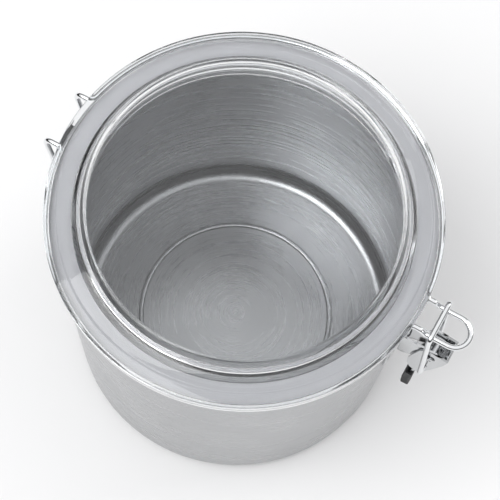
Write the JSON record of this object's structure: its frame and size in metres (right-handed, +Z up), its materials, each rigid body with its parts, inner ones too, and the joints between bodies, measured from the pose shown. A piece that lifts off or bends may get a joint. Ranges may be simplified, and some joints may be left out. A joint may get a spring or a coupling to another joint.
{
  "type": "clamp-lid food canister",
  "caption": "Wide round brushed steel food canister with a clear hinged acrylic lid, silicone seal and a wire-and-lever toggle clamp.",
  "frame": {"origin": "centre of the flat base, on the surface that the canister stands on", "axes": "+Z up along the canister's axis; -Y towards the toggle clamp, +Y towards the lid's hinge; X along every pivot"},
  "size_m": [0.203, 0.2415, 0.1895],
  "materials": {
    "brushed_steel": "brushed round the wall, satin",
    "polished_steel": "polished sheet",
    "polished_wire": "polished wire",
    "clear_acrylic": "clear, polished",
    "silicone": "translucent white, matte",
    "black_vinyl": "soft black sleeve"
  },
  "bodies": {
    "canister": {"canister_shell": "brushed_steel", "hinge_plate": "polished_steel", "latch_plate": "polished_steel", "latch_clevis": "polished_steel", "clevis_rivet_upper": "polished_steel", "clevis_rivet_lower": "polished_steel", "lever_pivot_pin": "polished_steel"},
    "lid": {"lid_cover": "clear_acrylic", "lid_gasket": "silicone", "lid_wire": "polished_wire"},
    "lever": {"latch_lever": "polished_steel", "thumb_tip": "black_vinyl"},
    "link": {"link_wire": "polished_wire"}
  },
  "joints": [
    {"name": "lid_hinge", "type": "hinge", "parent": "canister", "child": "lid", "pos_m": [0, 0.1055, 0.131], "axis": [-1, 0, 0], "range_deg": [0, 105]},
    {"name": "lever_swing", "type": "hinge", "parent": "canister", "child": "lever", "pos_m": [0, -0.117, 0.1325], "axis": [-1, 0, 0], "range_deg": [0, 95]},
    {"name": "link_swing", "type": "hinge", "parent": "lever", "child": "link", "pos_m": [0, -0.116, 0.1185], "axis": [-1, 0, 0], "range_deg": [-114, 0]}
  ],
  "couplings": [
    {"joint": "link_swing", "follows": "lever_swing", "ratio": -1.2}
  ]
}
